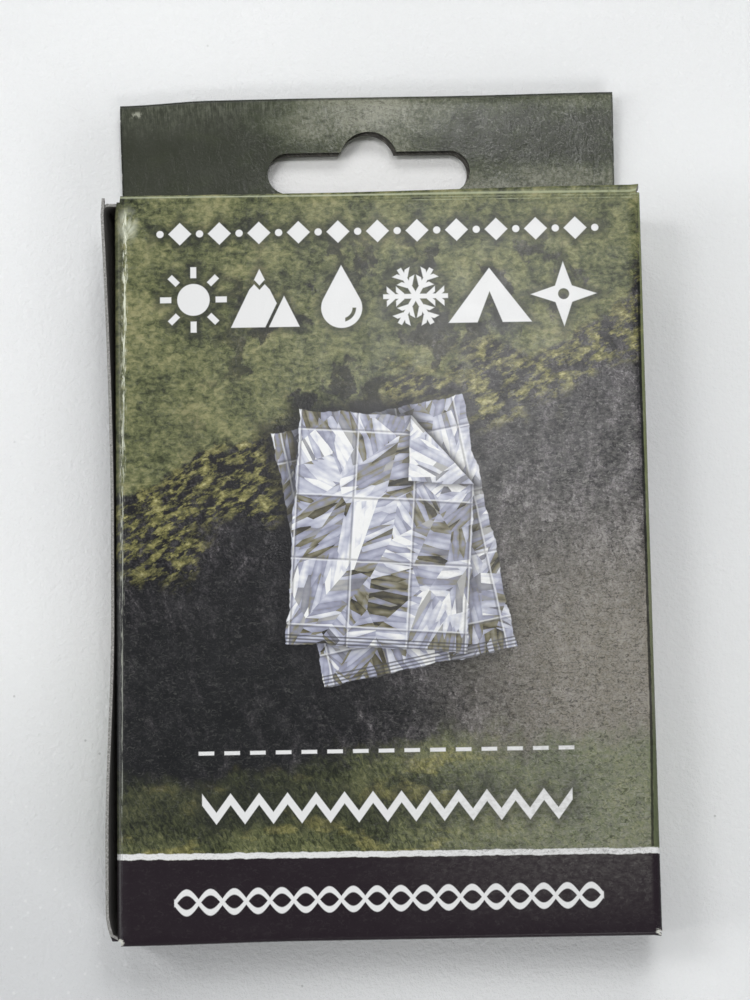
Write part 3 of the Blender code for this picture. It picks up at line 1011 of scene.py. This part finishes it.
# The glue flap: its depth, its depth at its two ends, and the length over which it narrows to that
FLAP_DEPTH = 13.0 * MM
FLAP_END_DEPTH = 5.0 * MM
FLAP_TAPER = 7.0 * MM
# The left wall's free edge leans out towards the top, most at the sleeve's end
TOP_FLARE = 1.5 * MM
TOP_FLARE_FROM = 8.0 * MM
TOP_FLARE_POWER = 1.6
# and less towards the foot, where it comes back in
LOW_FLARE = 0.95 * MM
LOW_FLARE_FROM = -8.0 * MM
LOW_FLARE_FULL = 14.0 * MM  # from the sleeve's end to where it is fully out
LOW_FLARE_END = 4.5 * MM  # length over which it comes back in
WALL_FREE_EDGE_DROP = 0.3 * MM  # from the front panel's face down to that edge
PEAK_FROM = 51.0 * MM  # height from which the edge's corner reaches up
PEAK_RISE = 0.5 * MM
FOOT_INWARD = 1.25 * MM  # how far its corner at the foot bends in
FOOT_DOWN = 1.9 * MM  # and how far that runs on past the sleeve's end


def wall_flare(y, half_height):
    """How far the left wall's free edge leans out at this height of the sleeve."""
    if y > TOP_FLARE_FROM:
        share = (y - TOP_FLARE_FROM) / (half_height - TOP_FLARE_FROM)
        return TOP_FLARE * share**TOP_FLARE_POWER
    if y < LOW_FLARE_FROM:
        opening = fade(-y, -LOW_FLARE_FROM, half_height - LOW_FLARE_FULL)
        closing = max(0.0, min(1.0, (LOW_FLARE_END - half_height - y) / LOW_FLARE_END))
        return LOW_FLARE * opening * (1 - closing**2)
    return 0.0


def soften(obj):
    """Gives the closed carton the sags and bulges of use; pieces that share a seam move alike."""

    def low_corner(place):
        return slopes((place.z, 15, 17), (-place.y, 40, 56), (-place.x, 12, 40))

    def top_edge(place):
        across = 0.45 + 0.55 * slopes((place.x, -12, 36))
        return across * slopes((place.y, 55, 56), (place.z, 3, 12))

    def right_wall(place):
        bulge = 1 - fade(abs(place.z - 10 * MM) / (9.5 * MM), 0, 1)
        return slopes((place.x, 39.3, 39.9)) * bulge * (0.6 + 0.4 * slopes((place.y, 0, 50)))

    def right_end(place, end):
        return slopes((place.x, 38.6, 39.4), (place.z, 11, 15), (end * place.y, 51, 55.3))

    def lid_end(place):
        return slopes((place.x, 30, 39.3), (place.z, 11, 15), (abs(place.y), 55.3, 56))

    def left_end(place):
        return slopes((-place.x, 38.6, 39.2), (place.z, 11, 15), (place.y, 53.6, 56))

    # Direction, distance in millimetres, and how much of it each place gets
    for direction, distance, weight in (
        ("X", 0.30, left_end),
        ("Y", 0.10, lambda place: right_end(place, 1)),
        ("Y", -0.15, lambda place: right_end(place, -1)),
        ("X", 0.40, lid_end),
        ("Y", -0.35, low_corner),
        ("Y", 0.90, top_edge),
        ("X", 0.55, right_wall),
    ):
        push(obj, direction, distance * MM, weight)


def dust_flap_span(end):
    """Lowest and highest place of the dust flaps at this end, across the carton's depth."""
    low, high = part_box("top_right_dust_flap" if end > 0 else "bottom_right_dust_flap")
    return low.z, high.z


class CARTON_OT_sleeve(bpy.types.Operator):
    """Folds the sleeve: glue flap, front panel, right wall, back panel and left wall"""

    bl_idname = "carton.sleeve"
    bl_label = "Fold the sleeve"

    def execute(self, context):
        s = context.scene.carton_sizes
        radius = s.crease
        right_angle = pi / 2
        half = s.half_width - radius
        end = s.half_height
        notch = end - NOTCH

        # Lines of the flat blank, from the front panel outwards on both sides.
        right = crease_lines(half, radius, right_angle, s.crease_lines)
        wall = s.depth - 2 * radius
        low_right = crease_lines(right[-1] + wall, radius, right_angle, s.crease_lines)
        back = 2 * half + s.gap + s.board
        low_left = crease_lines(low_right[-1] + back, radius, right_angle, s.crease_lines)
        left_wall = s.depth - WALL_FREE_EDGE_DROP - radius
        left = crease_lines(-half, radius, right_angle, s.crease_lines)
        flap_end = left[-1] - (FLAP_DEPTH - radius)

        spans = [dust_flap_span(1), dust_flap_span(-1)]
        lows = sorted({span[0] for span in spans})
        high = spans[0][1]
        right_marks = [right[-1] + (s.depth - radius - z) for z in (high, *reversed(lows))]
        left_marks = [low_left[-1] + (z - radius) for z in (*lows, high)]
        right_marks = [m for m in right_marks if m > right[-1] + NEAR]
        columns = [flap_end, *reversed(left), *right, *right_marks, *low_right, *low_left]
        columns += [*left_marks, low_left[-1] + left_wall]
        rows = [-end, -notch, notch, end]
        obj = cut_blank("sleeve_board", columns, rows, s.step)

        # Notches where the lids' and the dust flaps' creases take over.
        slope = (FLAP_DEPTH - FLAP_END_DEPTH) / FLAP_TAPER
        for side, (low, high) in zip((1, -1), spans):
            past_notch = (side * notch, side * (end + MM))
            trim(obj, (-half, half), past_notch)
            from_top = right[-1] + (s.depth - radius - high)
            trim(obj, (from_top, from_top + high - low), past_notch)
            from_foot = low_left[-1] + low - radius
            trim(obj, (from_foot, from_foot + high - low), past_notch)
            taper_start = (flap_end, side * (end - FLAP_TAPER))
            snip(obj, taper_start, (-1, side * slope), 3 * FLAP_DEPTH)

        flat = lay_on_plate(obj)
        for lines in (low_left, low_right, right, left):
            bend(obj, flat, 0, lines, right_angle)
        place_all(obj, (0, 0, s.depth))

        # The unglued left wall springs outwards at its top and near its foot.
        outer = -s.half_width - s.gap - s.board
        rise = s.depth - WALL_FREE_EDGE_DROP

        def on_left_wall(place):
            return place.x < outer + radius and place.z > HAIR

        def flare(place):
            if not on_left_wall(place) or place.x > outer + HAIR and place.z > radius:
                return 0.0
            return wall_flare(place.y, end) * place.z / rise / TOP_FLARE

        push(obj, "X", -TOP_FLARE, flare)

        # Its two free corners run on past the flaps folded from it.
        peak_from = spans[0][1] - 3 * HAIR
        foot_from = spans[1][1] + HAIR

        def foot(place):
            inside = on_left_wall(place) and place.z > foot_from
            return fade(-place.y, notch, end) if inside else 0.0

        def peak(place):
            if not on_left_wall(place):
                return 0.0
            return fade(place.y, PEAK_FROM, end) * fade(place.z, peak_from, rise)

        push(obj, "Y", PEAK_RISE, peak)
        push(obj, "X", FOOT_INWARD, foot)
        push(obj, "Y", -FOOT_DOWN, foot)
        soften(obj)

        def coat(face):
            corners = [flat[i] for i in face.vertices]
            return front_part(*(sum(c[i] for c in corners) / len(corners) / MM for i in range(2)))

        thicken(obj, s.board, [board_finish(make) for make in SLEEVE_COATS], coat)
        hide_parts("sleeve")
        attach(obj, "carton")
        return {"FINISHED"}


# ---------------------------------------------------------------- lids

TUCK_SWEEP = radians(34)  # the angle about the hinge line where the tuck flap ends
TUCK_SIDE = 1.0 * MM  # how much narrower the tuck flap is than the lid, each side
TUCK_CORNER = 5.0 * MM
TUCK_START = 0.4 * MM  # how far up the corner crease the tuck flap's narrower part starts
LID_SIDE = 0.55 * MM  # how much narrower the lid is than the front panel, each side


class CARTON_OT_lids(bpy.types.Operator):
    """Folds both end lids with their tuck flaps, each one sheet with the front panel's last strip"""

    bl_idname = "carton.lids"
    bl_label = "Fold the lids"

    def execute(self, context):
        self.fold_lid(context, "top_lid", 1)
        self.fold_lid(context, "bottom_lid", -1)
        return {"FINISHED"}

    def fold_lid(self, context, node, end):
        s = context.scene.carton_sizes
        low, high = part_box(node)
        face = high.y if end > 0 else -low.y
        hinge_y = face - s.lid_crease
        swing = s.depth - low.z
        half = s.half_width - LID_SIDE
        notch = s.half_height - NOTCH

        # The tuck flap starts where its corner crease meets the circle about the hinge line.
        first = atan2(s.crease - s.lid_crease, swing)
        lid_length = swing * cos(first) - s.crease - s.lid_crease
        hinge = crease_lines(hinge_y, s.lid_crease, pi / 2, s.crease_lines)
        corner = crease_lines(hinge[-1] + lid_length, s.crease, pi / 2 + first, s.crease_lines)
        strips = round(swing * (TUCK_SWEEP - first) / s.step)
        curl = crease_lines(corner[-1], swing, TUCK_SWEEP - first, strips)

        rows = [notch, *hinge, *corner, *curl[1:]]
        tuck_half = half - TUCK_SIDE
        columns = [-half, -tuck_half, tuck_half, half]
        if end < 0:
            hinge, corner, curl = ([-line for line in lines] for lines in (hinge, corner, curl))
            rows = [-row for row in reversed(rows)]
        obj = cut_blank(node + "_board", columns, rows, s.step)
        tip = curl[-1]
        for side in (1, -1):
            beside_tuck = (side * tuck_half, side * (half + MM))
            trim(obj, beside_tuck, (curl[0] - end * TUCK_START, tip + end * MM))
            round_corner(obj, (side * tuck_half, tip), (side, end), TUCK_CORNER)

        flat = lay_on_plate(obj)
        bend(obj, flat, 1, curl, TUCK_SWEEP - first)
        bend(obj, flat, 1, corner, pi / 2 + first)
        bend(obj, flat, 1, hinge, pi / 2)
        place_all(obj, (0, 0, s.depth))
        soften(obj)
        thicken(obj, s.board, [board_finish(wrap_coat)])
        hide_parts(node)
        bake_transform(obj)


# ---------------------------------------------------------------- header

HEADER_SPRING = radians(4)  # how far the header springs up from the back panel's plane
HEADER_REACH = 20.0 * MM
HEADER_FOOT = 0.3 * MM  # from the sleeve's end to the header's foot
HEADER_ON_PLATE = (0, 60 * MM)  # how far the header's sheet is shifted on the plate
SLOT_CENTRE = (-1.15 * MM, 8.0 * MM)  # across from the front panel's middle, up from the header's foot
SLOT_HALF_LENGTH = 16.0 * MM
SLOT_HALF_HEIGHT = 3.2 * MM
BUMP_HALF_WIDTH = 4.4 * MM
BUMP_RISE = 3.2 * MM
SLOT_MISFIT = (-0.45 * MM, -0.42 * MM)  # the back layer's slot from the front layer's
PUNCH_FACES = 48
PUNCH_OVERLAP = 1.0001  # the round parts stand a trace taller, so that no two ends coincide


def punch(name, centre, low, high, material):
    """The hang slot's punch: a round-ended bar with a round bump, joined into one closed solid."""
    tall = high - low
    middle = (low + high) / 2
    straight = SLOT_HALF_LENGTH - SLOT_HALF_HEIGHT
    bump_radius = (BUMP_HALF_WIDTH**2 + BUMP_RISE**2) / (2 * BUMP_RISE)
    x, y = centre
    bpy.ops.object.select_all(action="DESELECT")
    bpy.ops.mesh.primitive_cube_add(size=1, location=(x, y, middle))
    tool = bpy.context.object
    tool.name = name
    tool.scale = (2 * straight, 2 * SLOT_HALF_HEIGHT, tall)
    bpy.ops.object.transform_apply()
    rounds = [(x - straight, y, SLOT_HALF_HEIGHT), (x + straight, y, SLOT_HALF_HEIGHT)]
    rounds.append((x, y + SLOT_HALF_HEIGHT + BUMP_RISE - bump_radius, bump_radius))
    for round_x, round_y, radius in rounds:
        bpy.ops.object.select_all(action="DESELECT")
        bpy.ops.mesh.primitive_cylinder_add(
            vertices=PUNCH_FACES, radius=radius, depth=tall * PUNCH_OVERLAP,
            location=(round_x, round_y, middle),
        )
        cap = bpy.context.object
        bpy.ops.object.transform_apply()
        apply_modifier(tool, "Join", "BOOLEAN", operation="UNION", object=cap, solver="EXACT")
        bpy.data.objects.remove(cap, do_unlink=True)
    tool.data.materials.clear()
    tool.data.materials.append(material)
    return tool


class CARTON_OT_header(bpy.types.Operator):
    """Folds the doubled hang header and punches its slot"""

    bl_idname = "carton.header"
    bl_label = "Fold the header"

    def execute(self, context):
        s = context.scene.carton_sizes
        thick = 2 * s.board + s.gap
        radius = thick / 2
        reach = HEADER_REACH - radius
        strips = 2 * s.crease_lines
        fold = crease_lines(reach, radius, pi, strips)
        foot = fold[-1] + reach + HEADER_FOOT
        columns = [HEADER_LOW.x, HEADER_HIGH.x]
        obj = cut_blank("header_board", columns, [0, *fold, foot], s.step)
        flat = lay_on_plate(obj, HEADER_ON_PLATE)
        bend(obj, flat, 1, fold, pi)
        place_all(obj, (0, 0, thick))
        edge = board_finish(slot_edge)
        thicken(obj, s.board, [board_finish(header_print)], inside=edge)
        back_centre = [SLOT_CENTRE[i] + SLOT_MISFIT[i] for i in range(2)]
        punches = [
            punch("front_punch", SLOT_CENTRE, radius, thick + MM, edge),
            punch("back_punch", back_centre, -MM, radius, edge),
        ]
        for tool in punches:
            apply_modifier(
                obj, "Punch", "BOOLEAN", operation="DIFFERENCE", object=tool, solver="EXACT",
                material_mode="TRANSFER",
            )
            bpy.data.objects.remove(tool, do_unlink=True)
        smooth_creases(obj)
        self.warp(obj, reach)
        place_all(obj, (0, s.half_height + HEADER_FOOT, 0), HEADER_SPRING, "X")
        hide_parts("header")
        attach(obj, "carton")
        return {"FINISHED"}

    def warp(self, obj, reach):
        """Bows the header up from the table; its corners hang lower and stray a little from square."""
        right, left = HEADER_HIGH.x, HEADER_LOW.x

        def all_along(place):
            return 1.0

        def to_right(start):
            return lambda place: fade(place.x, start * MM, right)

        def to_left(start):
            return lambda place: fade(-place.x, start * MM, -left)

        # Direction, distance in millimetres, and how much of it each place across gets
        for direction, distance, across in (
            ("Z", 0.9, all_along),
            ("Z", -0.4, to_right(4)),
            ("Z", -0.8, to_left(6)),
            ("Y", 0.05, all_along),
            ("Y", 0.3, to_right(10)),
            ("Y", -0.6, to_left(26)),
            ("X", -0.3, to_left(30)),
        ):
            push(obj, direction, distance * MM, lambda p: fade(p.y, 0.0, reach) * across(p))


# ---------------------------------------------------------------- dust flaps

DUST_REACH = 29.0 * MM
DUST_SLANT = 3.0 * MM  # how much narrower a dust flap gets over its reach
DUST_CORNER = 3.0 * MM


def wall_plate_x(sizes, side):
    """How far a dust flap's sheet is shifted on the plate, so that its wall's print runs on."""
    radius = sizes.crease
    run = crease_lines(0, radius, pi / 2, sizes.crease_lines)[-1]
    half = sizes.half_width - radius
    right_wall = half + run
    if side > 0:
        return right_wall + sizes.depth - radius
    back = right_wall + sizes.depth - 2 * radius + run
    return back + 2 * half + sizes.gap + sizes.board + run - radius


class CARTON_OT_dust_flaps(bpy.types.Operator):
    """Folds the four dust flaps in from the side walls"""

    bl_idname = "carton.dust_flaps"
    bl_label = "Fold the dust flaps"

    def execute(self, context):
        for end_name, end in (("top", 1), ("bottom", -1)):
            for side_name, side in (("left", -1), ("right", 1)):
                self.fold_flap(context, f"{end_name}_{side_name}_dust_flap", side, end)
        return {"FINISHED"}

    def fold_flap(self, context, node, side, end):
        s = context.scene.carton_sizes
        radius = s.crease
        node_low, node_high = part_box(node)
        wall_x = s.half_width if side > 0 else s.half_width + s.gap + s.board
        tip_x = node_low.x if side > 0 else -node_high.x
        notch = s.half_height - NOTCH
        fold = crease_lines(end * notch, radius, pi / 2, s.crease_lines)
        tip = fold[-1] + end * (wall_x - radius - tip_x)
        rows = [*fold, tip] if end > 0 else [tip, *reversed(fold)]
        # Drawn flat with X across the carton's depth: turned onto the wall, X becomes -Z or +Z.
        depths = sorted((-side * node_low.z, -side * node_high.z))
        obj = cut_blank(node + "_board", depths, rows, s.step)
        top, foot = -side * node_high.z, -side * node_low.z
        way = 1 if top > foot else -1
        snip(obj, (top, fold[-1]), (way * DUST_REACH, end * DUST_SLANT), 2 * DUST_REACH)
        round_corner(obj, (foot, tip), (-way, end), DUST_CORNER)
        round_corner(obj, (top - way * DUST_SLANT, tip), (way, end), DUST_CORNER)
        flat = lay_on_plate(obj, (wall_plate_x(s, side), 0))
        bend(obj, flat, 1, fold, pi / 2)
        place_all(obj, (side * wall_x, 0, 0), side * pi / 2, "Y")
        if side < 0:
            rise = s.depth - WALL_FREE_EDGE_DROP
            flare = wall_flare(end * notch, s.half_height)
            if flare > 0:
                push(obj, "X", -flare, lambda place: place.z / rise)
        soften(obj)
        thicken(obj, s.board, [board_finish(flap_coat)])
        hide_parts(node)
        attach(obj, "carton")


# ---------------------------------------------------------------- stage

FLOOR_SIDE = 3.0
FLOOR_DROP = 0.00005  # below the carton's back panel, so that the two never share a plane
SENSOR = 36  # millimetres, as the lens setting has it
ROOM_COLOUR = (0.97, 0.985, 1.0)


def add_area(name, place, size, watts):
    """A soft rectangular lamp that looks at the carton's middle."""
    bpy.ops.object.light_add(type="AREA", location=place)
    lamp = bpy.context.object
    lamp.name = name
    lamp.data.shape = "RECTANGLE"
    lamp.data.size, lamp.data.size_y = size
    lamp.data.energy = watts
    lamp.rotation_euler = Vector(place).to_track_quat("Z", "Y").to_euler()


class CARTON_OT_stage(bpy.types.Operator):
    """Lays the pale floor, hangs the soft lamps and sets the camera"""

    bl_idname = "carton.stage"
    bl_label = "Set the stage"

    def execute(self, context):
        scene = context.scene
        stage = scene.carton_stage
        bpy.ops.object.select_all(action="DESELECT")
        bpy.ops.mesh.primitive_plane_add(size=FLOOR_SIDE, location=(0, 0, -FLOOR_DROP))
        floor = context.object
        floor.name = "floor"
        floor.data.materials.append(floor_card())

        scene.world = self.make_room(stage)
        for name, (place, size, watts) in LAMPS.items():
            add_area(name, place, size, watts * stage.brightness)

        bpy.ops.object.camera_add(location=stage.camera_place, rotation=stage.camera_turn)
        camera = context.object
        camera.name = "camera"
        camera.data.lens = stage.lens
        camera.data.sensor_width = SENSOR
        camera.data.clip_start = 0.01
        camera.data.dof.use_dof = False
        scene.camera = camera
        scene.view_settings.view_transform = "Standard"
        return {"FINISHED"}

    def make_room(self, stage):
        """Even room light, paler at eye level than overhead."""
        world = bpy.data.worlds.new("studio")
        world.use_nodes = True
        tree = world.node_tree
        split = tree.nodes.new("ShaderNodeSeparateXYZ")
        blend = tree.nodes.new("ShaderNodeMapRange")
        blend.inputs["To Min"].default_value = stage.horizon
        blend.inputs["To Max"].default_value = stage.zenith
        tree.links.new(tree.nodes.new("ShaderNodeTexCoord").outputs["Generated"], split.inputs[0])
        tree.links.new(split.outputs["Z"], blend.inputs["Value"])
        background = tree.nodes["Background"]
        background.inputs["Color"].default_value = (*ROOM_COLOUR, 1)
        tree.links.new(blend.outputs[0], background.inputs["Strength"])
        return world


# ---------------------------------------------------------------- panel and registration

class CARTON_PT_sidebar(bpy.types.Panel):
    """Lists the carton's pieces and its stage"""

    bl_idname = "CARTON_PT_sidebar"
    bl_label = "Folding carton"
    bl_space_type = "VIEW_3D"
    bl_region_type = "UI"
    bl_category = "Carton"

    def draw(self, context):
        for group in (context.scene.carton_sizes, context.scene.carton_stage):
            box = self.layout.box()
            for name in group.bl_rna.properties.keys():
                if name not in ("rna_type", "name"):
                    box.prop(group, name)
        for operator in OPERATORS:
            self.layout.operator(operator.bl_idname)


OPERATORS = (
    CARTON_OT_sleeve,
    CARTON_OT_lids,
    CARTON_OT_header,
    CARTON_OT_dust_flaps,
    CARTON_OT_stage,
)
CLASSES = (CartonSizes, StageSettings, *OPERATORS, CARTON_PT_sidebar)


def register():
    for cls in CLASSES:
        bpy.utils.register_class(cls)
    bpy.types.Scene.carton_sizes = PointerProperty(type=CartonSizes)
    bpy.types.Scene.carton_stage = PointerProperty(type=StageSettings)


def unregister():
    del bpy.types.Scene.carton_stage
    del bpy.types.Scene.carton_sizes
    for cls in reversed(CLASSES):
        bpy.utils.unregister_class(cls)


def main():
    register()
    bpy.ops.carton.sleeve()
    bpy.ops.carton.lids()
    bpy.ops.carton.header()
    bpy.ops.carton.dust_flaps()
    bpy.ops.carton.stage()


if __name__ == "__main__":
    main()
